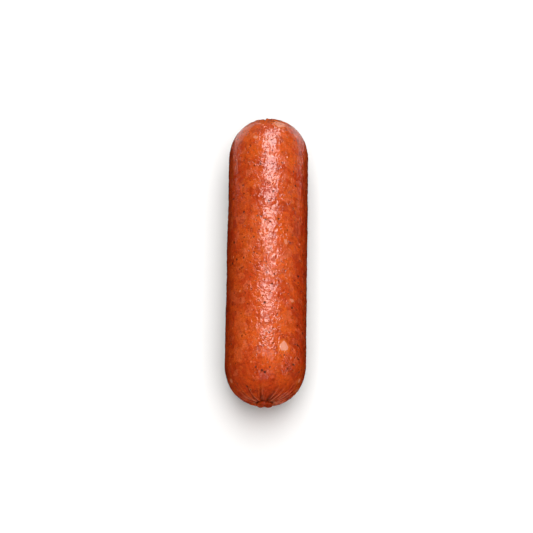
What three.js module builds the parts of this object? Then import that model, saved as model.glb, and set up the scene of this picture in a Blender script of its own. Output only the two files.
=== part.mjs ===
// A smoked sausage link: cooked meat in one thin casing, gathered into pleats and tied off at both ends.
// It lies along Y with its underside on the plane Z = 0 and its origin under its middle, in millimetres.
// The near end is at -Y. A bearing goes round the link's axis, in degrees, from straight up towards +X.
import * as THREE from "three";
import { mergeVertices } from "three/addons/utils/BufferGeometryUtils.js";

// The filled body.
const GIRTH_RADIUS = 16.0;
const BARREL_LENGTH = 85.9; // between the two domes
const BARREL_ROWS = 10;
const BOW = 0.3; // how far the middle of the link lies to one side of its ends
const REST_FLAT_DEPTH = 0.5; // how much of the round underside the link's own weight presses flat

// The domes, blunter than half a ball.
const NEAR_DOME = 17.25;
const FAR_DOME = 17.1;
const DOME_BLUNTNESS = 2.28; // the power of the dome's superellipse, where 2 is an ellipse
const DOME_ROWS = 12;

// The tie: a puckered mouth that the casing folds into, with the cut stub of the twist standing in it.
const MOUTH_RADIUS = 3.7;
const MOUTH_DEPTH = 1.7;
const MOUTH_PINCH = 0.62; // the mouth's height as a share of its width
const PINCH_ENDS_AT = 7.5; // the radius where the dome is round again
const STUB_RADIUS = 2.9;
const STUB_NECK_RADIUS = 2.2;
const STUB_LENGTH = 2.9; // from the floor of the mouth to the stub's tip
const STUB_LOBES = 3;
const STUB_LOBE_SHARE = 0.13; // how far a lobe stands out, as a share of the stub's radius

// The pleats. Each is a sharp crease with a soft lobe beside it.
const NEAR_CREASES = [-8, 28, 42, 57, 67, 79, 95, 115, 135, 158, 180, 200, 222, 245, 270, 289, 300, 321];
const PLEATS = NEAR_CREASES.length;
const CREASE_DEPTH = 0.75;
const CREASE_WIDTH = 0.55;
const CREASE_REACH = 10.5; // the radius where a crease of middling length runs out
const REACH_SPREAD = 2.0;
const LOBE_HEIGHT = 0.3;
const SWIRL = -12; // degrees that a crease turns between its outer end and the mouth
const PLEAT_STATIONS = [0, 0.16, 0.38, 0.62, 0.84]; // where the meridians cross one pleat, from crease to crease
const MERIDIANS = PLEATS * PLEAT_STATIONS.length;

const END = { near: -1, far: 1 };

// The far end's creases are spaced by a rule, unevenly as gathers are.
function farCreases() {
  const step = 360 / PLEATS;
  return Array.from({ length: PLEATS }, (_, k) => step * (k + 0.3 * Math.sin(1.9 * k)) + 5);
}

// The bearing of every meridian at an end: each pleat is crossed at the same stations, so that no crease is missed.
function meridianBearings(creases) {
  return creases.flatMap((crease, k) => {
    const next = k + 1 < PLEATS ? creases[k + 1] : creases[0] + 360;
    return PLEAT_STATIONS.map((station) => crease + station * (next - crease));
  });
}

const BEARINGS = {
  [END.near]: meridianBearings(NEAR_CREASES),
  [END.far]: meridianBearings(farCreases()),
};

// How far the dome stands out from its base at a radius.
function domeRise(radius, dome) {
  const share = Math.min(radius / GIRTH_RADIUS, 1);
  return dome * (1 - share ** DOME_BLUNTNESS) ** (1 / DOME_BLUNTNESS);
}

// The rows of one end, from the stub's tip out to the dome's base: each row's radius, its rise from that base,
// and how much of the pleats' depth it takes.
function endRows(dome) {
  const rim = domeRise(MOUTH_RADIUS, dome);
  const floor = rim - MOUTH_DEPTH;
  const tip = floor + STUB_LENGTH;
  const stub = [
    { radius: 0, rise: tip, pleat: 0 },
    { radius: 0.55 * STUB_RADIUS, rise: tip - 0.1, pleat: 0 },
    { radius: 0.9 * STUB_RADIUS, rise: tip - 0.45, pleat: 0 },
    { radius: STUB_RADIUS, rise: tip - 1.0, pleat: 0 },
    { radius: STUB_NECK_RADIUS, rise: floor + 0.55, pleat: 0 },
    { radius: STUB_NECK_RADIUS + 0.15, rise: floor + 0.1, pleat: 0 },
  ];
  const mouth = [
    { radius: STUB_NECK_RADIUS + 0.6, rise: floor, pleat: 0.15 },
    { radius: 0.86 * MOUTH_RADIUS, rise: floor + 0.55 * MOUTH_DEPTH, pleat: 0.5 },
    { radius: 0.97 * MOUTH_RADIUS, rise: rim - 0.12, pleat: 0.9 },
  ];
  const innermost = Math.asin(((MOUTH_RADIUS + 0.5) / GIRTH_RADIUS) ** (DOME_BLUNTNESS / 2));
  const domeRows = Array.from({ length: DOME_ROWS }, (_, k) => {
    const share = (k / DOME_ROWS) ** 1.15; // the rows crowd towards the mouth, where the creases are deepest
    const angle = innermost + (Math.PI / 2 - innermost) * share;
    const radius = GIRTH_RADIUS * Math.sin(angle) ** (2 / DOME_BLUNTNESS);
    return { radius, rise: domeRise(radius, dome), pleat: 1 };
  });
  return [...stub, ...mouth, ...domeRows];
}

// All rows from the near stub's tip to the far one's, each with its place along the link.
function linkRows() {
  const placed = (rows, end) => rows.map((row) => ({ ...row, end, along: end * (BARREL_LENGTH / 2 + row.rise) }));
  const barrel = Array.from({ length: BARREL_ROWS + 1 }, (_, k) => {
    const along = BARREL_LENGTH * (k / BARREL_ROWS - 0.5);
    return { radius: GIRTH_RADIUS, rise: 0, pleat: 0, end: along < 0 ? END.near : END.far, along };
  });
  return [...placed(endRows(NEAR_DOME), END.near), ...barrel, ...placed(endRows(FAR_DOME), END.far).reverse()];
}

// A crease's own depth and reach, so that no two beside each other are alike.
const creaseDepth = (k) => CREASE_DEPTH * (1 + 0.35 * Math.sin(1.7 * k + 0.6));
const creaseReach = (k) => CREASE_REACH + REACH_SPREAD * Math.sin(2.3 * k + 1.1);

// How far a row's skin sinks at a meridian: down in the creases on each side of it, up on the lobe between them.
function pleatSink(row, meridian) {
  const pleat = Math.floor(meridian / PLEAT_STATIONS.length);
  const station = PLEAT_STATIONS[meridian % PLEAT_STATIONS.length];
  const bearings = BEARINGS[row.end];
  const start = bearings[pleat * PLEAT_STATIONS.length];
  const next = bearings[((pleat + 1) % PLEATS) * PLEAT_STATIONS.length];
  const span = THREE.MathUtils.degToRad((next - start + 360) % 360) * row.radius;
  const fade = (k) => THREE.MathUtils.clamp((creaseReach(k) - row.radius) / (creaseReach(k) - MOUTH_RADIUS), 0, 1);
  const crease = (k, distance) => creaseDepth(k) * fade(k) * Math.exp(-((distance / CREASE_WIDTH) ** 2));
  const other = (pleat + 1) % PLEATS;
  const down = crease(pleat, station * span) + crease(other, (1 - station) * span);
  const up = LOBE_HEIGHT * Math.sin(Math.PI * station) * Math.min(fade(pleat), fade(other));
  return row.pleat * (down - up);
}

// The link isn't quite even: long, low swellings run along and round it.
function swelling(along, bearing) {
  const lengthwise = 0.12 * Math.sin(along / 11 + 0.8) + 0.1 * Math.sin(along / 23 - 1.1);
  return lengthwise + 0.13 * Math.sin(2 * bearing + along / 17) + 0.07 * Math.sin(3 * bearing - along / 9);
}

// One point of the skin, before the underside is pressed flat.
function skinPoint(row, meridian) {
  const blend = THREE.MathUtils.smoothstep(row.along, -BARREL_LENGTH / 2, BARREL_LENGTH / 2);
  const inward = THREE.MathUtils.clamp((CREASE_REACH - row.radius) / (CREASE_REACH - MOUTH_RADIUS), 0, 1);
  const degrees = THREE.MathUtils.lerp(BEARINGS[END.near][meridian], BEARINGS[END.far][meridian], blend);
  const bearing = THREE.MathUtils.degToRad(degrees + (row.rise > 0 ? SWIRL * inward : 0));

  // Sinking goes towards the middle of the dome's base.
  const reach = Math.hypot(row.radius, row.rise);
  const kept = reach > 0 ? 1 - pleatSink(row, meridian) / reach : 1;
  const ruffle = row.pleat === 0 && row.rise > 0 ? 1 + STUB_LOBE_SHARE * Math.sin(STUB_LOBES * bearing + row.rise) : 1;
  const fullness = THREE.MathUtils.smoothstep(row.radius, MOUTH_RADIUS, GIRTH_RADIUS);
  const radius = row.radius * kept * ruffle + fullness * swelling(row.along, bearing);
  const along = row.rise > 0 ? row.end * (BARREL_LENGTH / 2 + row.rise * kept) : row.along;

  const pinch = THREE.MathUtils.lerp(MOUTH_PINCH, 1, THREE.MathUtils.smoothstep(row.radius, 0, PINCH_ENDS_AT));
  const aside = BOW * Math.cos((Math.PI * along) / (BARREL_LENGTH + NEAR_DOME + FAR_DOME));
  return new THREE.Vector3(radius * Math.sin(bearing) + aside, along, radius * Math.cos(bearing) * pinch);
}

function linkGeometry() {
  const rows = linkRows();
  const geometry = new THREE.LatheGeometry(
    rows.map((row) => new THREE.Vector2(row.radius, row.along)),
    MERIDIANS,
  );
  const position = geometry.getAttribute("position");
  const restPlane = REST_FLAT_DEPTH - GIRTH_RADIUS;
  for (let column = 0; column <= MERIDIANS; column++)
    rows.forEach((row, k) => {
      const point = skinPoint(row, column % MERIDIANS);
      position.setXYZ(column * rows.length + k, point.x, point.y, Math.max(point.z, restPlane));
    });
  return centred(closed(geometry));
}

// The seam and the two tips become single vertices, and the faces that collapse there are left out.
function closed(geometry) {
  geometry.deleteAttribute("normal");
  geometry.deleteAttribute("uv");
  const merged = mergeVertices(geometry, 1e-3);
  const corners = merged.index.array;
  const kept = [];
  for (let i = 0; i < corners.length; i += 3) {
    const face = [corners[i], corners[i + 1], corners[i + 2]];
    if (new Set(face).size === 3) kept.push(...face);
  }
  merged.setIndex(kept);
  return merged;
}

// Puts the origin under the middle of the link, on the surface that it lies on.
function centred(geometry) {
  geometry.computeBoundingBox();
  const { min, max } = geometry.boundingBox;
  geometry.translate(-(min.x + max.x) / 2, -(min.y + max.y) / 2, -min.z);
  geometry.computeVertexNormals();
  return geometry;
}

function smokedCasing() {
  return new THREE.MeshStandardMaterial({ color: 0xb8451f, roughness: 0.35, metalness: 0 });
}

const link = new THREE.Mesh(linkGeometry(), smokedCasing());
link.name = "sausage_link";

const part = new THREE.Group();
part.add(link);

export default part;
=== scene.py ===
"""A smoked sausage link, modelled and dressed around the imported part.

The link lies along Y with its near tied end towards -Y, and rests on the plane Z = 0. Lengths are in
metres, except in a material, whose patterns are laid out in millimetres.
"""

import logging
import math
import random
from collections.abc import Callable, Iterator
from contextlib import contextmanager
from dataclasses import dataclass, field
from enum import Enum

import bmesh
import bpy
from mathutils import Euler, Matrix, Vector


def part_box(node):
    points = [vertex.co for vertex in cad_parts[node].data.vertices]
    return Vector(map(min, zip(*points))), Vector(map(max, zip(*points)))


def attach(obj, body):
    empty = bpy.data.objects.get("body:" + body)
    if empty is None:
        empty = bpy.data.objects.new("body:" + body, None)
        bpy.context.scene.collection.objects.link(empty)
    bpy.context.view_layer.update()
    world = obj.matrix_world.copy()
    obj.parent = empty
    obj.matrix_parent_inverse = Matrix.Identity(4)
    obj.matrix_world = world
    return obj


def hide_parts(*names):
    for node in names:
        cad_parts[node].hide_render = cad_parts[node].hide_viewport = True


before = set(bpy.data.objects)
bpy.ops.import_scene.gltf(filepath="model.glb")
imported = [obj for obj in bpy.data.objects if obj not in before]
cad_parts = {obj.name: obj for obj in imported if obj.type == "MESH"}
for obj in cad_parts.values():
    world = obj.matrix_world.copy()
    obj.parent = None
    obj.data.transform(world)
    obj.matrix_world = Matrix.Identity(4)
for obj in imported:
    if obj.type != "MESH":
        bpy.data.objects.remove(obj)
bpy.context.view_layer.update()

LOG = logging.getLogger("sausage_link")

MM = 0.001
PICKING_REACH = 0.1 * MM
MERGING_REACH = 0.001 * MM
NODE = "sausage_link"
BODY = "root"

# The gather attribute holds the crease depth, with shares of painted shade for the stub and the throat.
GATHER_ATTRIBUTE = "gather"
# The rim attribute feeds a painted highlight beside each crease.
RIM_HIGHLIGHT_ATTRIBUTE = "rim"

Colour = tuple[float, float, float]


class Value:
    """One number socket of a node tree, on which Python arithmetic adds Math nodes."""

    def __init__(self, recipe: "Recipe", socket: bpy.types.NodeSocket) -> None:
        """Wraps a socket.

        Args:
            recipe: the node tree that the socket belongs to.
            socket: an output that carries one number.
        """
        self.recipe = recipe
        self.socket = socket

    def __add__(self, other: "Value | float") -> "Value":
        """self + other."""
        return self.recipe.maths("ADD", self, other)

    def __sub__(self, other: "Value | float") -> "Value":
        """self - other."""
        return self.recipe.maths("SUBTRACT", self, other)

    def __rsub__(self, other: float) -> "Value":
        """other - self."""
        return self.recipe.maths("SUBTRACT", other, self)

    def __mul__(self, other: "Value | float") -> "Value":
        """self * other."""
        return self.recipe.maths("MULTIPLY", self, other)

    def __truediv__(self, other: "Value | float") -> "Value":
        """self / other."""
        return self.recipe.maths("DIVIDE", self, other)

    def __pow__(self, other: "Value | float") -> "Value":
        """self to the power of other."""
        return self.recipe.maths("POWER", self, other)

    def __abs__(self) -> "Value":
        """The size of self."""
        return self.recipe.maths("ABSOLUTE", self)

    __radd__ = __add__
    __rmul__ = __mul__


Feed = Value | bpy.types.NodeSocket | float | Colour | Vector


class Recipe:
    """A node tree that is written as calls: each one adds a node and returns what comes out of it."""

    def __init__(self, tree: bpy.types.NodeTree) -> None:
        """Empties a tree and gets ready to write it.

        Args:
            tree: the material's or the world's node tree.
        """
        tree.nodes.clear()
        self.tree = tree

    def node(
        self, kind: str, settings: dict[str, object] | None = None, feeds: dict[str | int, Feed] | None = None
    ) -> bpy.types.Node:
        """Adds one node.

        Args:
            kind: the node's type name.
            settings: its properties, which are set before its sockets are looked up.
            feeds: a value, colour, vector or link for each input socket, by name or number.

        Returns:
            The node.
        """
        made = self.tree.nodes.new(kind)
        for name, setting in (settings or {}).items():
            setattr(made, name, setting)
        for name, feed in (feeds or {}).items():
            self.feed(made.inputs[name], feed)
        return made

    def feed(self, socket: bpy.types.NodeSocket, feed: Feed) -> None:
        """Links a socket to an output, or sets its value.

        Args:
            socket: the input.
            feed: what goes into it. A colour may leave out its alpha.
        """
        if isinstance(feed, Value):
            feed = feed.socket
        if isinstance(feed, bpy.types.NodeSocket):
            self.tree.links.new(feed, socket)
        elif socket.type == "RGBA" and len(feed) == 3:
            socket.default_value = (*feed, 1.0)
        else:
            socket.default_value = feed

    def value(self, node: bpy.types.Node, output: str | int = 0) -> Value:
        """A node's number output, ready for arithmetic."""
        return Value(self, node.outputs[output])

    def maths(self, operation: str, *numbers: Value | float) -> Value:
        """Adds a Math node and returns its result."""
        feeds = dict(enumerate(numbers))
        return self.value(self.node("ShaderNodeMath", {"operation": operation}, feeds))

    def ramp(self, number: Value | float, start: float, end: float) -> Value:
        """Turns a number into a share that eases from 0 at start to 1 at end.

        Args:
            number: what is turned.
            start: where the share leaves 0. It may lie above end.
            end: where the share reaches 1.

        Returns:
            The share.
        """
        feeds = {"Value": number, "From Min": start, "From Max": end}
        settings = {"interpolation_type": "SMOOTHSTEP", "clamp": True}
        if start < end:
            return self.value(self.node("ShaderNodeMapRange", settings, feeds))
        feeds |= {"From Min": end, "From Max": start}
        return 1 - self.value(self.node("ShaderNodeMapRange", settings, feeds))

    def mix(
        self, share: Value | float, first: Feed, second: Feed, blend: str = "MIX"
    ) -> bpy.types.NodeSocket:
        """Mixes two colours.

        Args:
            share: how much of the second one shows.
            first: the colour below.
            second: the colour above.
            blend: the Mix node's way of blending.

        Returns:
            The mixed colour.
        """
        settings = {"data_type": "RGBA", "blend_type": blend, "clamp_factor": True}
        return self.node("ShaderNodeMix", settings, {0: share, 6: first, 7: second}).outputs[2]

    def vector(self, operation: str, *feeds: Feed) -> bpy.types.NodeSocket:
        """Adds a Vector Math node and returns the vector that comes out."""
        made = self.node("ShaderNodeVectorMath", {"operation": operation}, dict(enumerate(feeds)))
        return made.outputs["Vector"]

    def scale(self, colour: Feed, factor: Value | float) -> bpy.types.NodeSocket:
        """Makes a colour brighter or darker by a factor."""
        feeds = {"Vector": colour, "Scale": factor}
        return self.node("ShaderNodeVectorMath", {"operation": "SCALE"}, feeds).outputs["Vector"]

    def length(self, vector: Feed) -> Value:
        """The length of a vector."""
        return self.value(self.node("ShaderNodeVectorMath", {"operation": "LENGTH"}, {0: vector}), "Value")

    def channel(self, colour: Feed, name: str) -> Value:
        """One channel of a colour: Red, Green or Blue."""
        return self.value(self.node("ShaderNodeSeparateColor", None, {0: colour}), name)

    def coordinate(self, place: Feed, name: str) -> Value:
        """One coordinate of a place: X, Y or Z."""
        return self.value(self.node("ShaderNodeSeparateXYZ", None, {0: place}), name)

    def attribute(self, name: str) -> Value:
        """A number that the mesh keeps for each of its points."""
        return self.value(self.node("ShaderNodeAttribute", {"attribute_name": name}), "Fac")

    def noise(self, place: Feed, size: float, detail: float = 1.0, rough: float = 0.5) -> bpy.types.Node:
        """Adds a cloudy pattern.

        Args:
            place: where the pattern is read.
            size: the size of its patches, in millimetres.
            detail: how many finer layers it has.
            rough: how strong the finer layers are.

        Returns:
            The node, with a factor round 0.5 and a colour.
        """
        feeds = {"Vector": place, "Scale": 1 / size, "Detail": detail, "Roughness": rough}
        return self.node("ShaderNodeTexNoise", {"noise_dimensions": "3D"}, feeds)

    def cells(self, place: Feed, size: float, feature: str = "F1", soft: float = 0.0) -> bpy.types.Node:
        """Adds a pattern of irregular cells.

        Args:
            place: where the pattern is read.
            size: the cells' usual size, in millimetres.
            feature: the Voronoi node's feature.
            soft: how smoothly cells run into each other, where the feature is SMOOTH_F1.

        Returns:
            The node.
        """
        feeds = {"Vector": place, "Scale": 1 / size}
        if feature == "SMOOTH_F1":
            feeds["Smoothness"] = soft
        return self.node("ShaderNodeTexVoronoi", {"feature": feature}, feeds)


class MeatTone(Enum):
    """The colours of the meat under the casing, in linear light. The darkening tint multiplies the others: it
    paints shade on the flanks and darkens the near end. The crease shade is painted shade and the ridge
    highlight a painted highlight.
    """

    RED = (0.500, 0.053, 0.0085)
    ORANGE = (0.615, 0.092, 0.0115)
    DEEP = (0.350, 0.028, 0.0042)
    PINK = (0.640, 0.122, 0.0440)
    # Painted shade on the flanks, and a darker tint round the near end.
    DARKENING_TINT = (0.920, 0.560, 0.3600)
    # Painted highlight on the rims beside the creases.
    RIM = (0.820, 0.270, 0.1400)
    FAT = (0.760, 0.300, 0.1900)
    HALO = (0.680, 0.130, 0.0120)
    SPICE = (0.060, 0.012, 0.0035)
    PEPPER = (0.130, 0.017, 0.0030)
    # Painted shade in the creases, down the throat and on the stub.
    CREASE_SHADE = (0.200, 0.018, 0.0040)


@dataclass(frozen=True)
class Warp:
    """Bends that move a pattern's place out of true: their size, and how far they move it at most."""

    size_mm: float
    reach_mm: float

    def bend(self, recipe: Recipe, place: Feed) -> bpy.types.NodeSocket:
        """Moves a place, in millimetres, by the bends.

        Args:
            recipe: the tree.
            place: the place in millimetres.

        Returns:
            The moved place.
        """
        cloud = recipe.noise(place, self.size_mm).outputs["Color"]
        centred = recipe.vector("SUBTRACT", cloud, Vector((0.5, 0.5, 0.5)))
        moved = recipe.vector("MULTIPLY", centred, Vector((2, 2, 2)) * self.reach_mm)
        return recipe.vector("ADD", place, moved)


@dataclass(frozen=True)
class Patches:
    """Cloudy patches, which ease in from where the cloud is at the start to where it is at the end.

    Outside them the share is the least one, and inside them it is 1.
    """

    size_mm: float
    start: float
    end: float
    detail: float = 1.0
    rough: float = 0.5
    least: float = 0.0

    def share(self, recipe: Recipe, place: Feed) -> Value:
        """How much a place, in millimetres, lies in a patch."""
        cloud = recipe.value(recipe.noise(place, self.size_mm, self.detail, self.rough))
        return self.least + recipe.ramp(cloud, self.start, self.end) * (1 - self.least)


@dataclass(frozen=True)
class Mottle:
    """Patches of one tone in the meat."""

    patches: Patches
    strength: float
    tone: MeatTone


@dataclass(frozen=True)
class Crumbs:
    """Crumbs of one tone in the meat: the cells that draw a high number in one of their colour's channels.

    They ease in from those that draw the start to those that draw the end.
    """

    channel: str
    start: float
    strength: float
    tone: MeatTone
    end: float = 0.95


@dataclass(frozen=True)
class Scatter:
    """Small things strewn about, at most one to a cell. The spacing is the usual size of the cells.

    Each cell draws a number in a channel of its colour. It has nothing in it where that is below the rarity,
    and its thing shows fully where the number is higher than that by the ease.
    """

    spacing_mm: float
    radius_mm: float
    rarity: float
    ease: float
    channel: str

    def find(self, recipe: Recipe, place: Feed, thicker: Value | float = 0.0) -> tuple[Value, Value]:
        """Finds the thing that is nearest to a place.

        Args:
            recipe: the tree.
            place: the place in millimetres.
            thicker: what is added to each cell's number, so that more of the cells are full.

        Returns:
            How far the place is from its middle, as a share of its radius, and whether it is there at all.
        """
        cell = recipe.cells(place, self.spacing_mm)
        out = recipe.value(cell, "Distance") * (self.spacing_mm / self.radius_mm)
        drawn = recipe.channel(cell.outputs["Color"], self.channel) + thicker
        return out, recipe.ramp(drawn, self.rarity, self.rarity + self.ease)


@dataclass(frozen=True)
class FatLook:
    """How a piece of fat shows: the fat itself and a halo of stained juice round it.

    Each band runs from where nothing of it shows to where it shows fully, in shares of the piece's radius.
    """

    halo_band: tuple[float, float]
    fat_band: tuple[float, float]
    halo_strength: float

    def lay(self, recipe: Recipe, meat: Feed, out: Value, strength: Value | float) -> bpy.types.NodeSocket:
        """Lays a piece of fat and its halo over the meat.

        Args:
            recipe: the tree.
            meat: the colour below.
            out: how far out of the piece a place lies, as a share of its radius.
            strength: how clearly the piece shows.

        Returns:
            The colour with the piece in it.
        """
        halo = recipe.ramp(out, *self.halo_band) * strength * self.halo_strength
        fat = recipe.ramp(out, *self.fat_band) * strength
        return recipe.mix(fat, recipe.mix(halo, meat, MeatTone.HALO.value), MeatTone.FAT.value)


@dataclass(frozen=True)
class FatPiece:
    """A piece of fat that shows through the casing, many-sided and a few millimetres across.

    Each side is given by the bearing that it faces, in degrees from +X towards +Y, and its share of the
    radius. The roundness is how far the corners reach, as a share of it too.
    """

    centre_mm: tuple[float, float, float]
    radius_mm: float
    sides: tuple[tuple[float, float], ...] = ((20, 1.0), (80, 0.7), (150, 1.1), (225, 0.8), (300, 1.0))
    strength: float = 1.0
    roundness: float = 1.35

    def out(self, recipe: Recipe, place: Feed) -> Value:
        """How far out of the piece a place lies: 1 on its outline, less inside it.

        Args:
            recipe: the tree.
            place: the place in millimetres.

        Returns:
            The share of the piece's radius, measured square to the nearest of its sides.
        """
        offset = recipe.vector("SUBTRACT", place, Vector(self.centre_mm))
        out = recipe.length(offset) / (self.roundness * self.radius_mm)
        for degrees, share in self.sides:
            bearing = math.radians(degrees)
            normal = Vector((math.cos(bearing), math.sin(bearing), 0))
            across = recipe.node("ShaderNodeVectorMath", {"operation": "DOT_PRODUCT"}, {0: offset, 1: normal})
            out = recipe.maths("MAXIMUM", out, recipe.value(across, "Value") / (self.radius_mm * share))
        return out


@dataclass(frozen=True)
class Peppercorn:
    """A piece of cracked pepper just under the casing, larger than the specks of spice round it.

    Heights are counted at the height share only, so that it meets the casing wherever that swells.
    """

    centre_mm: tuple[float, float, float]
    radius_mm: float
    height_share: float = 0.45

    def out(self, recipe: Recipe, place: Feed) -> Value:
        """How far out of the piece a place lies.

        Args:
            recipe: the tree.
            place: the place in millimetres.

        Returns:
            The distance from its middle, as a share of its radius.
        """
        offset = recipe.vector("SUBTRACT", place, Vector(self.centre_mm))
        squashed = recipe.vector("MULTIPLY", offset, Vector((1, 1, self.height_share)))
        return recipe.length(squashed) / self.radius_mm


@dataclass(frozen=True)
class Casing:
    """The relief of the thin skin: fine folds, mostly along the link, over a pebbled and pitted surface.

    It is nearly level between the folds and pits, which keeps the highlight crisp. The depths are in
    millimetres. The skin grows more pebbled from one Y to another, towards the near end.
    """

    fold_warp: Warp = Warp(1.3, 0.45)
    fold_stretch: tuple[float, float, float] = (1.0, 0.7, 1.0)
    fold_mm: float = 1.7
    fold_steepness: float = 18.0
    fold_depth: float = 0.066
    folded: Patches = Patches(5.0, 0.40, 0.58, least=0.45)
    pebble_warp: Warp = Warp(0.8, 0.35)
    pebble_mm: float = 0.80
    pebble_softness: float = 0.6
    pebble_depth: float = 0.03
    pebbled_depth: float = 0.04
    pebbled: Patches = Patches(6.0, 0.42, 0.58, least=0.45)
    pebbled_y_mm: tuple[float, float] = (-12.0, -32.0)
    pit_warp: Warp = Warp(0.5, 0.15)
    pits: Scatter = Scatter(0.88, 0.27, 0.25, 0.25, "Blue")
    pit_depth: float = 0.10
    dimple_depth: float = 0.17

    def normal(self, recipe: Recipe, place: Feed, dimples: Value) -> bpy.types.NodeSocket:
        """The normal of the crinkled skin.

        Args:
            recipe: the tree.
            place: the place in millimetres.
            dimples: how deep in a dimple over a speck the skin lies, as a share.

        Returns:
            The normal.
        """
        depth = self._folds(recipe, place) + self._pebbles(recipe, place) + self._pits(recipe, place)
        height = (depth + dimples * self.dimple_depth) * -1.0
        feeds = {"Strength": 1.0, "Distance": 1.0 * MM, "Height": height}
        return recipe.node("ShaderNodeBump", None, feeds).outputs["Normal"]

    def _folds(self, recipe: Recipe, place: Feed) -> Value:
        """How deep the narrow folds are, which follow the middle level of a cloud that is drawn out along Y.

        Args:
            recipe: the tree.
            place: the place in millimetres.

        Returns:
            The depth in millimetres.
        """
        along = recipe.vector("MULTIPLY", self.fold_warp.bend(recipe, place), Vector(self.fold_stretch))
        off_fold = abs(recipe.value(recipe.noise(along, self.fold_mm)) - 0.5)
        folds = recipe.maths("MAXIMUM", 1 - off_fold * self.fold_steepness, 0.0)
        return folds * self.folded.share(recipe, place) * self.fold_depth

    def _pebbles(self, recipe: Recipe, place: Feed) -> Value:
        """How deep the skin lies between its pebbles, more so in patches towards the near end.

        Args:
            recipe: the tree.
            place: the place in millimetres.

        Returns:
            The depth in millimetres.
        """
        bent = self.pebble_warp.bend(recipe, place)
        cell = recipe.cells(bent, self.pebble_mm, "SMOOTH_F1", self.pebble_softness)
        near_end = recipe.ramp(recipe.coordinate(place, "Y"), *self.pebbled_y_mm)
        pebbled = near_end * self.pebbled.share(recipe, place)
        return recipe.value(cell, "Distance") * (self.pebble_depth + pebbled * self.pebbled_depth)

    def _pits(self, recipe: Recipe, place: Feed) -> Value:
        """How deep the small, steep pits are, which are scattered all over."""
        out, there = self.pits.find(recipe, self.pit_warp.bend(recipe, place))
        return recipe.maths("MAXIMUM", 1 - out, 0.0) * there * self.pit_depth


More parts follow.
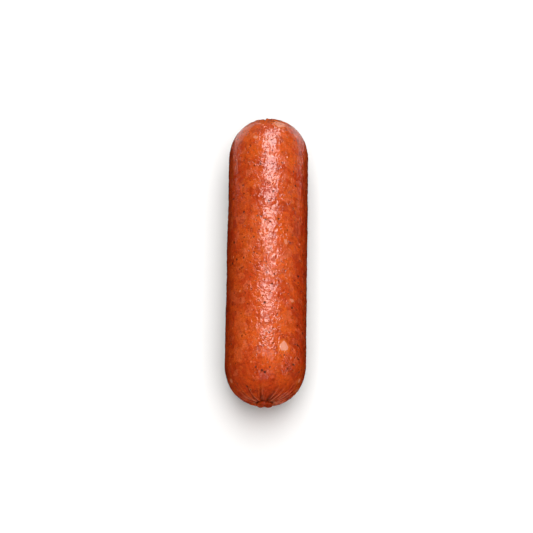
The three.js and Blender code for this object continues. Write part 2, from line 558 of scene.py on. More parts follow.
@dataclass(frozen=True)
class CasedMeat:
    """The finish of the link: mottled cooked meat with fat and spice, under a thin glossy casing.

    The pattern is read in object space, so that it runs through the body as the real mixture does. A painted
    shade darkens and reddens the flanks from one distance off the middle to another, and the near end is
    darkened from one Y to another. The creases carry painted shade and the rims beside them a painted
    highlight.
    """

    name: str = "cased_smoked_meat"
    casing: Casing = Casing()
    broad_patches: Patches = Patches(9.0, 0.36, 0.64, 2.0, 0.6)
    meat_warp: Warp = Warp(2.5, 0.9)
    crumb_mm: float = 2.4
    crumb_softness: float = 0.35
    crumbs: tuple[Crumbs, ...] = (
        Crumbs("Red", 0.62, 0.75, MeatTone.PINK),
        Crumbs("Green", 0.66, 0.55, MeatTone.DEEP),
        Crumbs("Blue", 0.55, 0.55, MeatTone.ORANGE),
    )
    mottles: tuple[Mottle, ...] = (
        Mottle(Patches(1.9, 0.50, 0.34, 5.0, 0.72), 0.6, MeatTone.DEEP),
        Mottle(Patches(1.9, 0.54, 0.70, 5.0, 0.72), 0.45, MeatTone.PINK),
    )
    grain_mm: float = 0.8
    grain_darkest: float = 0.43
    grain_contrast: float = 1.14
    # The flanks get painted shade; the near end is darkened as well.
    flank_x_mm: tuple[float, float] = (8.0, 15.5)
    flank_painted_shade: float = 0.9
    near_end_y_mm: tuple[float, float] = (-44.0, -57.0)
    near_end_darkening: float = 0.55
    fat_warp: Warp = Warp(1.3, 0.35)
    fat_pieces: tuple[FatPiece, ...] = ()
    fat_piece_look: FatLook = FatLook((1.85, 1.0), (1.08, 0.86), 0.8)
    fat_crumbs: tuple[Scatter, ...] = (
        Scatter(6.5, 1.1, 0.90, 0.06, "Red"),
        Scatter(2.6, 0.42, 0.84, 0.06, "Red"),
    )
    fat_crumb_look: FatLook = FatLook((1.7, 0.8), (1.1, 0.7), 1.0)
    fat_crumb_strength: float = 0.5
    speck_warp: Warp = Warp(0.5, 0.12)
    spiced: Patches = Patches(7.0, 0.40, 0.62)
    spiced_share: float = 0.12
    specks: tuple[tuple[Scatter, MeatTone], ...] = (
        (Scatter(2.6, 0.50, 0.64, 0.04, "Green"), MeatTone.SPICE),
        (Scatter(1.6, 0.36, 0.56, 0.04, "Green"), MeatTone.PEPPER),
        (Scatter(4.0, 0.66, 0.74, 0.04, "Green"), MeatTone.SPICE),
    )
    speck_band: tuple[float, float] = (1.0, 0.4)
    speck_strength: float = 0.95
    peppercorn_warp: Warp = Warp(0.6, 0.3)
    peppercorns: tuple[Peppercorn, ...] = ()
    peppercorn_band: tuple[float, float] = (1.0, 0.5)
    peppercorn_strength: float = 0.9
    # Strength of the painted highlight on the crease rims.
    ridge_highlight_strength: float = 0.8
    # Strength and power of the painted shade in the creases.
    crease_shade_strength: float = 0.9
    crease_shade_power: float = 0.8
    roughness: float = 0.10
    dull: Patches = Patches(3.0, 0.45, 0.70, 2.0)
    dull_roughness: float = 0.07
    gathered_roughness: float = 0.2

    def make(self) -> bpy.types.Material:
        """Builds the material.

        Returns:
            The material, ready to be put on the link.
        """
        material = bpy.data.materials.new(self.name)
        material.use_nodes = True
        recipe = Recipe(material.node_tree)
        place = self._place(recipe)
        meat = self._darken_flanks_and_near_end(recipe, place, self._meat(recipe, place))
        meat = self._fat(recipe, place, meat)
        meat, dimples = self._spice(recipe, place, meat)
        gather = recipe.attribute(GATHER_ATTRIBUTE)
        rim = recipe.attribute(RIM_HIGHLIGHT_ATTRIBUTE)
        # Painted highlight: a paler pink along the rims beside the creases, where glossy ridges catch the
        # light.
        meat = recipe.mix(rim * self.ridge_highlight_strength, meat, MeatTone.RIM.value)
        # Painted shade: the creases, the throat and the stub are darkened towards the crease shade tone.
        meat = recipe.mix(gather**self.crease_shade_power * self.crease_shade_strength, meat, MeatTone.CREASE_SHADE.value)
        shader = recipe.node(
            "ShaderNodeBsdfPrincipled",
            {"subsurface_method": "RANDOM_WALK"},
            {
                "Base Color": meat,
                "Roughness": self._dryness(recipe, place, gather),
                "IOR": 1.48,
                "Specular IOR Level": 0.5,
                "Subsurface Weight": 0.3,
                "Subsurface Radius": (1.0, 0.28, 0.12),
                "Subsurface Scale": 0.9 * MM,
                "Normal": self.casing.normal(recipe, place, dimples),
            },
        )
        recipe.node("ShaderNodeOutputMaterial", None, {"Surface": shader.outputs["BSDF"]})
        return material

    def _place(self, recipe: Recipe) -> bpy.types.NodeSocket:
        """Finds where the shaded point is.

        Args:
            recipe: the tree.

        Returns:
            The place in object space, in millimetres.
        """
        coordinates = recipe.node("ShaderNodeTexCoord")
        feeds = {"Vector": coordinates.outputs["Object"], "Scale": Vector((1, 1, 1)) / MM}
        return recipe.node("ShaderNodeMapping", None, feeds).outputs["Vector"]

    def _meat(self, recipe: Recipe, place: Feed) -> bpy.types.NodeSocket:
        """The ground meat: broad patches of red and orange, broken up by crumbs and by fine mottle.

        Args:
            recipe: the tree.
            place: the place in millimetres.

        Returns:
            The colour of the meat alone.
        """
        bent = self.meat_warp.bend(recipe, place)
        broad = self.broad_patches.share(recipe, place)
        colour = recipe.mix(broad, MeatTone.RED.value, MeatTone.ORANGE.value)
        drawn = recipe.cells(bent, self.crumb_mm, "SMOOTH_F1", self.crumb_softness).outputs["Color"]
        for crumbs in self.crumbs:
            share = recipe.ramp(recipe.channel(drawn, crumbs.channel), crumbs.start, crumbs.end)
            colour = recipe.mix(share * crumbs.strength, colour, crumbs.tone.value)
        for mottle in self.mottles:
            share = mottle.patches.share(recipe, bent)
            colour = recipe.mix(share * mottle.strength, colour, mottle.tone.value)
        grain = recipe.value(recipe.noise(place, self.grain_mm, 3.0, 0.7))
        return recipe.scale(colour, self.grain_darkest + grain * self.grain_contrast)

    def _darken_flanks_and_near_end(self, recipe: Recipe, place: Feed, meat: Feed) -> bpy.types.NodeSocket:
        """Darkens the meat and makes it redder along both flanks, as painted shade, and round the near end.

        Args:
            recipe: the tree.
            place: the place in millimetres.
            meat: the colour below.

        Returns:
            The darkened colour.
        """
        # Painted shade along the flanks; the near end is darkened as well.
        flank = recipe.ramp(abs(recipe.coordinate(place, "X")), *self.flank_x_mm)
        near_end = recipe.ramp(recipe.coordinate(place, "Y"), *self.near_end_y_mm)
        share = recipe.maths("MAXIMUM", flank * self.flank_painted_shade, near_end * self.near_end_darkening)
        return recipe.mix(share, meat, MeatTone.DARKENING_TINT.value, "MULTIPLY")

    def _fat(self, recipe: Recipe, place: Feed, meat: Feed) -> bpy.types.NodeSocket:
        """Adds the fat: a few large pieces and a scatter of small ones.

        Args:
            recipe: the tree.
            place: the place in millimetres.
            meat: the colour below.

        Returns:
            The colour with the fat in it.
        """
        bent = self.fat_warp.bend(recipe, place)
        for piece in self.fat_pieces:
            meat = self.fat_piece_look.lay(recipe, meat, piece.out(recipe, bent), piece.strength)
        for crumbs in self.fat_crumbs:
            out, there = crumbs.find(recipe, bent)
            meat = self.fat_crumb_look.lay(recipe, meat, out, there * self.fat_crumb_strength)
        return meat

    def _spice(self, recipe: Recipe, place: Feed, meat: Feed) -> tuple[bpy.types.NodeSocket, Value]:
        """Adds specks of pepper and spice, thick in some places and thin in others.

        Args:
            recipe: the tree.
            place: the place in millimetres.
            meat: the colour below.

        Returns:
            The colour with its specks, and how deep in a dimple over a speck the casing lies, as a share.
        """
        bent = self.speck_warp.bend(recipe, place)
        thicker = self.spiced.share(recipe, place) * self.spiced_share
        dimples: Value | float = 0.0
        for scatter, tone in self.specks:
            out, there = scatter.find(recipe, bent, thicker)
            shown = recipe.ramp(out, *self.speck_band) * there * self.speck_strength
            meat = recipe.mix(shown, meat, tone.value)
            dimples = recipe.maths("MAXIMUM", dimples, (1 - out) * there)
        torn = self.peppercorn_warp.bend(recipe, place)
        for corn in self.peppercorns:
            out = corn.out(recipe, torn)
            shown = recipe.ramp(out, *self.peppercorn_band) * self.peppercorn_strength
            meat = recipe.mix(shown, meat, MeatTone.SPICE.value)
            dimples = recipe.maths("MAXIMUM", dimples, 1 - out)
        return meat, dimples

    def _dryness(self, recipe: Recipe, place: Feed, gather: Value) -> Value:
        """How rough the casing is: glossy nearly all over, duller in patches and deep in the creases."""
        dull = self.dull.share(recipe, place) * self.dull_roughness
        return self.roughness + dull + gather * self.gathered_roughness


@dataclass(frozen=True)
class PaleFloor:
    """The finish of the studio floor: matt and near white, fading into the backdrop towards its rim."""

    name: str = "pale_floor"
    colour: Colour = (0.93, 0.93, 0.92)
    fade_starts: float = 0.14
    fade_ends: float = 0.30

    def make(self) -> bpy.types.Material:
        """Builds the material.

        Returns:
            The material, ready to be put on the floor.
        """
        material = bpy.data.materials.new(self.name)
        material.use_nodes = True
        recipe = Recipe(material.node_tree)
        place = recipe.node("ShaderNodeTexCoord").outputs["Object"]
        fade = recipe.ramp(recipe.length(place), self.fade_starts, self.fade_ends)
        shader = recipe.node(
            "ShaderNodeBsdfPrincipled",
            None,
            {"Base Color": self.colour, "Roughness": 0.9, "Specular IOR Level": 0.0},
        )
        clear = recipe.node("ShaderNodeBsdfTransparent")
        mixed = recipe.node(
            "ShaderNodeMixShader", None, {0: fade, 1: shader.outputs[0], 2: clear.outputs[0]}
        )
        recipe.node("ShaderNodeOutputMaterial", None, {"Surface": mixed.outputs[0]})
        return material


def select_only(piece: bpy.types.Object) -> None:
    """Makes a piece the active one and the only one that is selected.

    Args:
        piece: the object.
    """
    bpy.ops.object.select_all(action="DESELECT")
    bpy.context.view_layer.objects.active = piece
    piece.select_set(True)


@contextmanager
def editing(piece: bpy.types.Object) -> Iterator[None]:
    """Opens a piece in edit mode with nothing selected, and leaves edit mode at the end.

    Args:
        piece: the mesh object.

    Yields:
        Nothing.
    """
    select_only(piece)
    bpy.ops.object.mode_set(mode="EDIT")
    bpy.ops.mesh.select_all(action="DESELECT")
    yield
    bpy.ops.object.mode_set(mode="OBJECT")


def pick_points(piece: bpy.types.Object, test: Callable[[Vector], bool]) -> None:
    """Selects the points that pass a test, in edit mode.

    Args:
        piece: the mesh object that is being edited.
        test: takes a point's place.
    """
    bpy.ops.mesh.select_mode(type="VERT")
    work = bmesh.from_edit_mesh(piece.data)
    for point in work.verts:
        point.select_set(test(point.co))
    work.select_flush(True)
    bmesh.update_edit_mesh(piece.data)


def pick_edges(piece: bpy.types.Object, test: Callable[[Vector, Vector], bool]) -> None:
    """Selects the edges that pass a test, in edit mode.

    Args:
        piece: the mesh object that is being edited.
        test: takes the places of an edge's two ends.
    """
    bpy.ops.mesh.select_mode(type="EDGE")
    work = bmesh.from_edit_mesh(piece.data)
    for edge in work.edges:
        edge.select_set(test(edge.verts[0].co, edge.verts[1].co))
    bmesh.update_edit_mesh(piece.data)


def apply_modifier(piece: bpy.types.Object, kind: str, settings: dict[str, object]) -> None:
    """Adds a modifier to a piece and applies it.

    Args:
        piece: the mesh object.
        kind: the modifier's type.
        settings: its properties.
    """
    select_only(piece)
    bpy.ops.object.modifier_add(type=kind)
    modifier = piece.modifiers[-1]
    for name, setting in settings.items():
        setattr(modifier, name, setting)
    bpy.ops.object.modifier_apply(modifier=modifier.name)


class Side(Enum):
    """An end of the link, as the direction that it points along Y."""

    NEAR = -1
    FAR = 1


class Grain(Enum):
    """The kinds of relief: rounded all over, or creased by sharp valleys."""

    ROUNDED = "SOFT_NOISE"
    CREASED = "HARD_NOISE"


@dataclass(frozen=True)
class Relief:
    """A cloudy pattern that moves the skin in and out.

    The size is that of its features and the depth the distance between its lows and highs. The middle is the
    share of the depth that stays level, and the pattern is stretched along the link and turned about Z.
    """

    name: str
    size: float
    depth: float
    grain: Grain = Grain.ROUNDED
    finer: int = 0
    middle: float = 0.5
    stretch: float = 1.0
    turn: float = 0.0


@dataclass(frozen=True)
class Crease:
    """One fold of the gathered casing, which runs from the mouth out over the dome."""

    bearing: float
    reach: float
    depth: float
    width: float


@dataclass
class TiedEnd:
    """One end of the link: a dome whose casing is gathered into pleats round a puckered mouth.

    A bearing goes round the link's axis from straight up towards +X. The dome is a superellipse, and its
    bluntness is the power of that, where 2 is an ellipse. How far a crease spreads, and the place and the
    width of the rim beside it, are counted in its own width.
    """

    girth_radius: float
    dome: float
    creases: list[Crease]
    bluntness: float = 2.28
    dome_rows: int = 25
    row_crowding: float = 0.92
    mouth_radius: float = 3.7 * MM
    mouth_depth: float = 1.7 * MM
    lip: float = 0.5 * MM
    throat: float = 1.0 * MM
    pinch: float = 0.62
    pinch_ends_at: float = 7.5 * MM
    stub_radius: float = 2.9 * MM
    stub_neck: float = 2.2 * MM
    stub_length: float = 2.9 * MM
    swirl: float = math.radians(-12)
    swirl_ends_at: float = 10.5 * MM
    dome_lobes_end: float = 11.5 * MM
    crease_spread: float = 5.0
    crease_fade: float = 0.6
    rim_fade: float = 1.5
    rim_place: float = 2.1
    rim_width: float = 0.95
    lobe_share: float = 0.7
    rim_lobe_share: float = 0.5

    def rise(self, radius: float) -> float:
        """How far the dome stands out from its base at a radius."""
        share = min(radius / self.girth_radius, 1.0)
        return self.dome * (1 - share**self.bluntness) ** (1 / self.bluntness)

    def rows(self) -> list[tuple[float, float]]:
        """The rows of the end, from beside the dome's base to the stub's tip.

        Returns:
            Each row's radius and its rise from the dome's base.
        """
        innermost = (self.mouth_radius + self.lip) / self.girth_radius
        start = math.asin(innermost ** (self.bluntness / 2))
        dome = []
        for step in range(1, self.dome_rows + 1):
            angle = math.pi / 2 + (start - math.pi / 2) * (step / self.dome_rows) ** self.row_crowding
            radius = self.girth_radius * math.sin(angle) ** (2 / self.bluntness)
            dome.append((radius, self.rise(radius)))
        rim = self.rise(self.mouth_radius)
        floor = rim - self.mouth_depth
        tip = floor + self.stub_length
        mouth = [
            (self.mouth_radius + 0.15 * MM, rim + 0.02 * MM),
            (self.mouth_radius - 0.12 * MM, rim - 0.15 * MM),
            (self.mouth_radius - 0.35 * MM, rim - 0.55 * MM),
            (self.mouth_radius - 0.60 * MM, rim - 1.10 * MM),
            (self.stub_neck + 0.62 * MM, floor + 0.12 * MM),
            (self.stub_neck + 0.30 * MM, floor),
            (self.stub_neck, floor + 0.30 * MM),
        ]
        stub = [
            (self.stub_neck + 0.08 * MM, floor + 0.90 * MM),
            (self.stub_radius - 0.28 * MM, tip - 1.20 * MM),
            (self.stub_radius, tip - 0.62 * MM),
            (self.stub_radius - 0.06 * MM, tip - 0.28 * MM),
            (self.stub_radius - 0.34 * MM, tip - 0.04 * MM),
            (self.stub_radius - 0.90 * MM, tip),
            (self.stub_radius - 1.70 * MM, tip - 0.25 * MM),
            (self.stub_radius - 2.45 * MM, tip - 0.55 * MM),
        ]
        return dome + mouth + stub

    def pinch_at(self, radius: float) -> float:
        """A row's height as a share of its width."""
        share = min(radius / self.pinch_ends_at, 1.0)
        return self.pinch + (1 - self.pinch) * share * share * (3 - 2 * share)

    def gather(self, radius: float, bearing: float) -> tuple[float, float, float]:
        """How strongly the casing is folded at a place of the dome or the mouth.

        Args:
            radius: the distance from the link's axis.
            bearing: the bearing round it.

        Returns:
            How deep it lies in a crease, how high on a lobe and how near the rim beside a crease, as shares.
        """
        inward = max(0.0, 1 - radius / self.swirl_ends_at)
        crease_share, rim_share = 0.0, 0.0
        nearest, second = math.inf, math.inf
        out_of_throat = min(1.0, max(0.0, (radius - self.stub_neck) / self.throat))
        for crease in self.creases:
            turn = bearing - crease.bearing - self.swirl * inward
            turn = (turn + math.pi) % math.tau - math.pi
            distance = abs(turn) * radius
            rim_distance = abs(turn * radius - self.rim_place * crease.width)
            if distance < nearest:
                nearest, second = distance, nearest
            elif distance < second:
                second = distance
            if radius < crease.reach and distance < self.crease_spread * crease.width:
                left = (crease.reach - radius) / (crease.reach - self.mouth_radius)
                fade = crease.depth * min(1.0, left) ** self.crease_fade
                in_crease = math.exp(-((distance / crease.width) ** 2))
                on_rim = math.exp(-((rim_distance / (self.rim_width * crease.width)) ** 2))
                crease_share = max(crease_share, fade * in_crease)
                rim_share = max(rim_share, fade**self.rim_fade * on_rim)
        between = nearest / max(nearest + second, 1e-9)
        lobe_fade = (self.dome_lobes_end - radius) / (self.dome_lobes_end - self.mouth_radius)
        lobe_share = self.lobe_share * math.sin(math.pi * between) * max(0.0, min(1.0, lobe_fade))
        lobe_share += self.rim_lobe_share * rim_share
        return crease_share * out_of_throat, lobe_share * out_of_throat, rim_share * out_of_throat


@dataclass
class SausageLink:
    """The link: a filled casing with a barrel and two tied ends, resting on a narrow flat strip.

    It fills the box from low to high. The swelling's allowance is what the reliefs add to the girth, and the
    stubs' tips stand proud of the domes.
    """

    low: Vector
    high: Vector
    swelling_allowance: float = 0.12 * MM
    stub_proud: float = 0.93 * MM
    near_dome: float = 17.25 * MM
    far_dome: float = 17.1 * MM
    rest_depth: float = 0.5 * MM
    meridians: int = 150
    barrel_rows: int = 84
    gathered_radius: float = 15.0 * MM
    crease_depth: float = 1.05 * MM
    lobe_height: float = 0.38 * MM
    stub_lobes: int = 3
    stub_lobe_height: float = 0.42 * MM
    stub_margin: float = 0.2 * MM
    # stub_shade and throat_shade are shares of painted shade.
    stub_shade: float = 0.45
    throat_margin: float = 0.3 * MM
    throat_shade: float = 0.9
    seed: int = 7
    short_creases: int = 20
    near_bearings: tuple[float, ...] = (
        -8, 28, 42, 57, 67, 79, 95, 115, 135, 158, 180, 200, 222, 245, 270, 289, 300, 321,
    )
    far_unevenness: float = 0.3
    far_start: float = math.radians(5)
    swellings: tuple[Relief, ...] = (
        Relief("swelling", 24 * MM, 0.50 * MM),
        Relief("packing", 6.5 * MM, 0.22 * MM, finer=1),
    )
    crinkles: tuple[Relief, ...] = (
        Relief("lumps", 2.6 * MM, 0.14 * MM, finer=1, stretch=1.4),
        Relief(
            "wrinkles",
            1.45 * MM,
            0.24 * MM,
            Grain.CREASED,
            finer=1,
            middle=0.25,
            stretch=1.8,
            turn=math.radians(14),
        ),
    )
    ends: dict[Side, TiedEnd] = field(default_factory=dict)

    def __post_init__(self) -> None:
        """Works out the link's proportions from its box and gathers its two ends."""
        self.girth_radius = (self.high.x - self.low.x) / 2 - self.swelling_allowance
        self.axis_height = self.girth_radius - self.rest_depth
        length = self.high.y - self.low.y
        self.barrel = length - self.near_dome - self.far_dome - 2 * self.stub_proud
        self.base_y = {
            Side.NEAR: self.low.y + self.stub_proud + self.near_dome,
            Side.FAR: self.high.y - self.stub_proud - self.far_dome,
        }
        draw = random.Random(self.seed)
        near = [math.radians(bearing) for bearing in self.near_bearings]
        self.ends[Side.NEAR] = TiedEnd(self.girth_radius, self.near_dome, self._creases(near, draw))
        far = self._far_bearings()
        self.ends[Side.FAR] = TiedEnd(self.girth_radius, self.far_dome, self._creases(far, draw))

    def _far_bearings(self) -> list[float]:
        """Works out where the far end's main creases lie: as many as at the near end, spaced by a rule.

        Returns:
            Their bearings, in radians.
        """
        count = len(self.near_bearings)
        step = math.tau / count
        shifts = [self.far_unevenness * math.sin(1.9 * k) for k in range(count)]
        return [step * (k + shift) + self.far_start for k, shift in enumerate(shifts)]

    def _creases(self, bearings: list[float], draw: random.Random) -> list[Crease]:
        """The main creases of an end at their bearings, with a few short ones between them.

        Args:
            bearings: where the main creases lie, in radians.
            draw: the source of their unevenness.

        Returns:
            The creases.
        """
        main = [
            Crease(
                bearing=bearing,
                reach=(draw.uniform(10.3, 12.8) + 2.0 * abs(math.sin(bearing))) * MM,
                depth=draw.uniform(0.6, 1.0),
                width=draw.uniform(0.26, 0.36) * MM,
            )
            for bearing in bearings
        ]
        short = [
            Crease(
                bearing=draw.uniform(0, math.tau),
                reach=draw.uniform(7.0, 12.0) * MM,
                depth=draw.uniform(0.22, 0.48),
                width=draw.uniform(0.20, 0.28) * MM,
            )
            for _ in range(self.short_creases)
        ]
        return main + short

    def build(self) -> bpy.types.Object:
        """Models the link.

        Returns:
            The finished mesh object.
        """
        link = self._first_ring()
        for side in Side:
            self._draw_end(link, side)
        self._divide_barrel(link)
        self._close(link)
        apply_modifier(link, "SUBSURF", {"levels": 1, "render_levels": 1})
        for relief in self.swellings:
            self._displace(link, relief)
        self._gather(link)
        for relief in self.crinkles:
            self._displace(link, relief)
        self._settle(link)
        select_only(link)
        bpy.ops.object.shade_smooth()
        return link

    def _first_ring(self) -> bpy.types.Object:
        """Adds the ring that both ends are drawn out of, at the base of the near dome.

        Returns:
            The ring, as a mesh object.
        """
        bpy.ops.object.select_all(action="DESELECT")
        bpy.ops.mesh.primitive_circle_add(
            vertices=self.meridians,
            radius=self.girth_radius,
            fill_type="NOTHING",
            location=(0, self.base_y[Side.NEAR], self.axis_height),
            rotation=(math.pi / 2, 0, 0),
        )
        link = bpy.context.active_object
        link.name = link.data.name = "cased_link"
        bpy.ops.object.transform_apply(location=True, rotation=True, scale=True)
        return link

    def _draw_end(self, link: bpy.types.Object, side: Side) -> None:
        """Extrudes one end, ring by ring, from the base of its dome to the tip of its stub.

        Args:
            link: the mesh so far.
            side: which end. The far one first draws the barrel out of the near ring.
        """
        end = self.ends[side]
        near_base = self.base_y[Side.NEAR]
        with editing(link):
            pick_points(link, lambda point: abs(point.y - near_base) < PICKING_REACH)
            if side is Side.FAR:
                bpy.ops.mesh.extrude_edges_move(TRANSFORM_OT_translate={"value": (0, self.barrel, 0)})
            width, height, rise = end.girth_radius, end.girth_radius, 0.0
            for radius, next_rise in end.rows():
                step = side.value * (next_rise - rise)
                next_height = radius * end.pinch_at(radius)
                bpy.ops.mesh.extrude_edges_move(TRANSFORM_OT_translate={"value": (0, step, 0)})
                bpy.ops.transform.resize(
                    value=(radius / width, 1, next_height / height), center_override=(0, 0, self.axis_height)
                )
                width, height, rise = radius, next_height, next_rise
            bpy.ops.mesh.extrude_edges_move(TRANSFORM_OT_translate={"value": (0, 0, 0)})
            bpy.ops.mesh.merge(type="CENTER")

    def _divide_barrel(self, link: bpy.types.Object) -> None:
        """Cuts the barrel's long faces into rows.

        Args:
            link: the mesh so far.
        """
        with editing(link):
            pick_edges(link, lambda one, other: abs(one.y - other.y) > self.barrel / 2)
            bpy.ops.mesh.subdivide(number_cuts=self.barrel_rows - 1)

    def _close(self, link: bpy.types.Object) -> None:
        """Merges doubled points and turns all faces outwards.

        Args:
            link: the mesh so far.
        """
        with editing(link):
            bpy.ops.mesh.select_all(action="SELECT")
            bpy.ops.mesh.remove_doubles(threshold=MERGING_REACH)
            bpy.ops.mesh.normals_make_consistent(inside=False)

    def _displace(self, link: bpy.types.Object, relief: Relief) -> None:
        """Moves the skin in and out by a cloudy pattern.

        Args:
            link: the mesh.
            relief: the pattern.
        """
        pattern = bpy.data.textures.new(relief.name, type="CLOUDS")
        pattern.noise_scale = relief.size
        pattern.noise_depth = relief.finer
        pattern.noise_type = relief.grain.value
        bpy.ops.object.select_all(action="DESELECT")
        bpy.ops.object.empty_add(rotation=(0, 0, relief.turn))
        frame_of_pattern = bpy.context.active_object
        frame_of_pattern.scale = (1, relief.stretch, 1)
        bpy.context.view_layer.update()
        settings = {
            "texture": pattern,
            "texture_coords": "OBJECT",
            "texture_coords_object": frame_of_pattern,
            "strength": relief.depth,
            "mid_level": relief.middle,
        }
        apply_modifier(link, "DISPLACE", settings)
        bpy.data.objects.remove(frame_of_pattern)
        bpy.data.textures.remove(pattern)

    def _gather(self, link: bpy.types.Object) -> None:
        """Folds the casing into pleats round both mouths, and keeps for the finish their depth, which the
        finish paints as shade, together with shares of painted shade for the stub and the throat, and the
        rims beside the creases, which the finish paints as a highlight.

        Args:
            link: the mesh.
        """
        creases = link.vertex_groups.new(name="creases")
        lobes = link.vertex_groups.new(name="lobes")
        stub_tips = link.vertex_groups.new(name="stub_tips")
        crease_shade_shares = [0.0] * len(link.data.vertices)
        rim_highlight_shares = [0.0] * len(link.data.vertices)
        for point in link.data.vertices:
            side = Side.NEAR if point.co.y < 0 else Side.FAR
            end = self.ends[side]
            across, up = point.co.x, point.co.z - self.axis_height
            radius, bearing = math.hypot(across, up), math.atan2(across, up)
            out = side.value * (point.co.y - self.base_y[side])
            if out < 0 or radius > self.gathered_radius:
                continue
            rim = end.rise(end.mouth_radius)
            if radius < end.stub_radius + self.stub_margin and out > rim:
                lobe = 0.5 + 0.5 * math.cos(self.stub_lobes * bearing)
                stub_tips.add([point.index], lobe, "REPLACE")
                # Painted shade on the stub.
                crease_shade_shares[point.index] = self.stub_shade
                continue
            crease, lobe, crease_rim = end.gather(radius, bearing)
            if radius < end.mouth_radius and out < rim - self.throat_margin:
                # Painted shade down the throat of the mouth.
                crease, crease_rim = max(crease, self.throat_shade), 0.0
            creases.add([point.index], crease, "REPLACE")
            lobes.add([point.index], lobe, "REPLACE")
            crease_shade_shares[point.index] = crease
            rim_highlight_shares[point.index] = crease_rim
        for group, height in (
            ("lobes", self.lobe_height),
            ("creases", -self.crease_depth),
            ("stub_tips", self.stub_lobe_height),
        ):
            apply_modifier(link, "DISPLACE", {"strength": height, "mid_level": 0.0, "vertex_group": group})
        for name, shares in ((GATHER_ATTRIBUTE, crease_shade_shares), (RIM_HIGHLIGHT_ATTRIBUTE, rim_highlight_shares)):
            attribute = link.data.attributes.new(name, "FLOAT", "POINT")
            attribute.data.foreach_set("value", shares)
        link.vertex_groups.clear()

    def _settle(self, link: bpy.types.Object) -> None:
        """Presses the underside flat where the link rests.

        Args:
            link: the mesh.
        """
        with editing(link):
            pick_points(link, lambda point: point.z < 0)
            bpy.ops.transform.resize(value=(1, 1, 0), center_override=(0, 0, 0))


class Duty(Enum):
    """What a lamp is there for."""

    HIGHLIGHT = "highlight"
    WASH = "wash"


@dataclass(frozen=True)
class Softbox:
    """A soft lamp that faces the link.

    It hangs at a tilt from straight up towards +Y and reaches across from one X to another, and the whole may
    be rolled towards +X. Its duty says whether it draws a highlight on the casing or lights the meat.
    """

    name: str
    radiance: float
    tilt: float
    distance: float
    across: tuple[float, float]
    length: float
    duty: Duty
    roll: float = 0.0

    def hang(self) -> None:
        """Adds the lamp to the scene."""
        light = bpy.data.lights.new(self.name, "AREA")
        light.shape = "RECTANGLE"
        light.size = self.across[1] - self.across[0]
        light.size_y = self.length
        light.energy = self.radiance * math.pi * light.size * light.size_y
        lamp = bpy.data.objects.new(self.name, light)
        aside = sum(self.across) / 2
        place = Vector((aside, self.distance * math.sin(self.tilt), self.distance * math.cos(self.tilt)))
        place.rotate(Euler((0, self.roll, 0)))
        lamp.location = place
        lamp.rotation_euler = (-self.tilt, self.roll, 0)
        lamp.visible_camera = False
        lamp.visible_glossy = self.duty is Duty.HIGHLIGHT
        lamp.visible_diffuse = self.duty is Duty.WASH
        bpy.context.scene.collection.objects.link(lamp)


@dataclass(frozen=True)
class FloorPatch:
    """A rectangle of the floor that the casing doesn't mirror and that may be kept from lighting the link."""

    half_width: float
    near: float
    far: float
    lights_link: bool


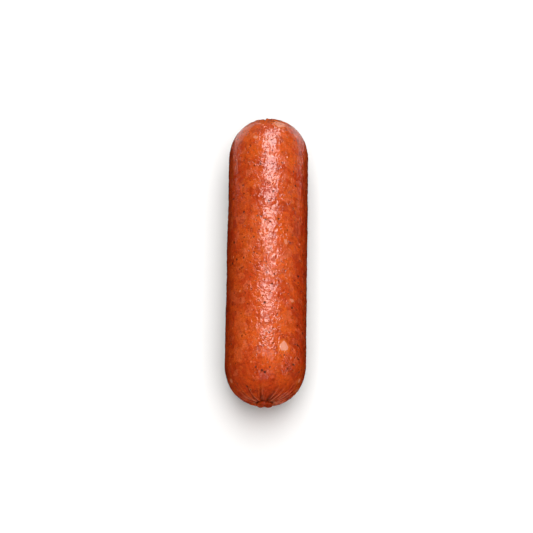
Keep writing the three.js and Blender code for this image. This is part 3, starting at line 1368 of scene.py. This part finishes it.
@dataclass
class Studio:
    """The floor, the lights and the camera."""

    centre: Vector
    floor_radius: float = 0.32
    patches: tuple[FloorPatch, ...] = (
        FloorPatch(0.240, -0.066, 0.067, False),
        FloorPatch(0.240, -0.200, -0.066, True),
        FloorPatch(0.017, 0.067, 0.240, True),
    )
    camera_distance: float = 1.036
    camera_elevation: float = math.radians(68)
    camera_azimuth: float = math.radians(1.0)
    image_px: float = 533.0
    focal_px: float = 2600.0
    sensor_mm: float = 36.0
    centre_px: tuple[float, float] = (267.0, 260.2)
    backdrop: Colour = (0.97, 0.97, 0.96)
    surroundings: Colour = (0.022, 0.009, 0.005)
    fill: Colour = (0.06, 0.05, 0.045)
    softboxes: tuple[Softbox, ...] = (
        Softbox("strip_softbox", 10.8, math.radians(36.5), 1.0, (-0.19, 0.37), 0.53, Duty.HIGHLIGHT),
        Softbox("rear_softbox", 9.0, math.radians(61), 1.0, (-0.14, 0.36), 0.28, Duty.HIGHLIGHT),
        Softbox("low_softbox", 1.2, math.radians(15), 1.0, (-0.17, 0.33), 0.20, Duty.HIGHLIGHT),
        Softbox(
            "side_softbox", 4.2, math.radians(-7), 1.0, (-0.08, 0.08), 0.50, Duty.HIGHLIGHT, math.radians(64)
        ),
        Softbox("front_softbox", 3.0, math.radians(-44), 1.0, (-0.22, 0.34), 0.22, Duty.HIGHLIGHT),
        Softbox("top_softbox", 2.92, math.radians(5), 0.9, (-0.40, 0.60), 2.15, Duty.WASH),
    )

    def build(self) -> None:
        """Sets up the whole studio."""
        self._floor()
        self._world()
        for softbox in self.softboxes:
            softbox.hang()
        self._camera()
        bpy.context.scene.view_settings.view_transform = "Standard"

    def _floor(self) -> None:
        """A round floor that fades out before its rim, with patches that the casing doesn't mirror."""
        bpy.ops.object.select_all(action="DESELECT")
        bpy.ops.mesh.primitive_circle_add(vertices=96, radius=self.floor_radius, fill_type="NGON")
        floor = bpy.context.active_object
        floor.name = "studio_floor"
        floor.data.materials.append(PaleFloor().make())
        for patch in self.patches:
            self._cut_out(floor, patch)

    def _cut_out(self, floor: bpy.types.Object, patch: FloorPatch) -> None:
        """Makes a patch of the floor a piece of its own.

        Args:
            floor: the floor.
            patch: the patch.
        """
        with editing(floor):
            for place, normal in (
                ((patch.half_width, 0, 0), (1, 0, 0)),
                ((-patch.half_width, 0, 0), (1, 0, 0)),
                ((0, patch.near, 0), (0, 1, 0)),
                ((0, patch.far, 0), (0, 1, 0)),
            ):
                bpy.ops.mesh.select_all(action="SELECT")
                bpy.ops.mesh.bisect(plane_co=place, plane_no=normal)
            pick_points(
                floor,
                lambda point: abs(point.x) < patch.half_width + PICKING_REACH
                and patch.near - PICKING_REACH < point.y < patch.far + PICKING_REACH,
            )
            bpy.ops.mesh.separate(type="SELECTED")
        piece = next(piece for piece in bpy.context.selected_objects if piece is not floor)
        piece.name = "studio_floor_patch"
        piece.visible_glossy = False
        piece.visible_diffuse = patch.lights_link

    def _world(self) -> None:
        """A pale backdrop for the eye, dim surroundings for the gloss and a soft fill for the meat."""
        world = bpy.data.worlds.new("studio")
        world.use_nodes = True
        bpy.context.scene.world = world
        recipe = Recipe(world.node_tree)
        path = recipe.node("ShaderNodeLightPath")
        lit = recipe.mix(recipe.value(path, "Is Diffuse Ray"), self.surroundings, self.fill)
        colour = recipe.mix(recipe.value(path, "Is Camera Ray"), lit, self.backdrop)
        background = recipe.node("ShaderNodeBackground", None, {"Color": colour, "Strength": 1.0})
        recipe.node("ShaderNodeOutputWorld", None, {"Surface": background.outputs[0]})

    def _camera(self) -> None:
        """The camera, above the near end, aimed so that the link lies where the photograph has it."""
        camera = bpy.data.cameras.new("camera")
        camera.sensor_width = self.sensor_mm
        camera.lens = self.sensor_mm * self.focal_px / self.image_px
        holder = bpy.data.objects.new("camera", camera)
        bpy.context.scene.collection.objects.link(holder)
        sight = Vector(
            (
                math.sin(self.camera_azimuth) * math.cos(self.camera_elevation),
                -math.cos(self.camera_azimuth) * math.cos(self.camera_elevation),
                math.sin(self.camera_elevation),
            )
        )
        turned = sight.to_track_quat("Z", "Y")
        right, up = turned @ Vector((1, 0, 0)), turned @ Vector((0, 1, 0))
        per_px = self.camera_distance / self.focal_px
        middle = self.image_px / 2
        aim = (
            self.centre
            - right * (self.centre_px[0] - middle) * per_px
            + up * (self.centre_px[1] - middle) * per_px
        )
        holder.rotation_mode = "QUATERNION"
        holder.rotation_quaternion = turned
        holder.location = aim + sight * self.camera_distance
        bpy.context.scene.camera = holder


def main() -> None:
    """Builds the link and the studio round it."""
    logging.basicConfig(level=logging.INFO, format="%(name)s: %(message)s")
    low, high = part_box(NODE)
    link = SausageLink(low, high).build()
    finish = CasedMeat(
        fat_pieces=(
            FatPiece(
                (7.3, -41.5, 29.9), 1.6, ((35, 0.90), (-47, 1.12), (-71, 0.98), (180, 1.0), (142, 0.95))
            ),
            FatPiece((3.9, 54.4, 27.8), 2.0, strength=0.75),
            FatPiece((-5.2, 47.3, 30.4), 0.8, strength=0.6),
            FatPiece((10.1, -21.8, 28.0), 0.8, strength=0.55),
            FatPiece((7.4, 2.3, 29.8), 0.9, ((10, 0.6), (100, 1.3), (190, 0.7), (280, 1.2)), 0.55),
        ),
        peppercorns=(
            Peppercorn((0.4, 19.0, 31.6), 0.59),
            Peppercorn((-2.5, 12.4, 31.4), 0.59),
            Peppercorn((4.5, 11.7, 31.0), 0.61),
            Peppercorn((3.1, -12.1, 31.3), 0.46),
            Peppercorn((-1.1, -51.6, 30.0), 0.61),
            Peppercorn((2.0, -50.3, 30.4), 0.44),
            Peppercorn((-3.5, -50.3, 30.1), 0.49),
            Peppercorn((-0.7, -41.9, 31.6), 0.44),
            Peppercorn((11.2, -47.8, 26.4), 0.63),
            Peppercorn((12.7, -39.4, 25.4), 0.56),
            Peppercorn((12.5, -10.6, 25.6), 0.51),
        ),
    )
    link.data.materials.clear()
    link.data.materials.append(finish.make())
    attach(link, BODY)
    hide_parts(NODE)
    LOG.info("%s: %d faces, replaces %s", link.name, len(link.data.polygons), NODE)
    Studio((low + high) / 2).build()
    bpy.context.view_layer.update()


if __name__ == "__main__":
    main()
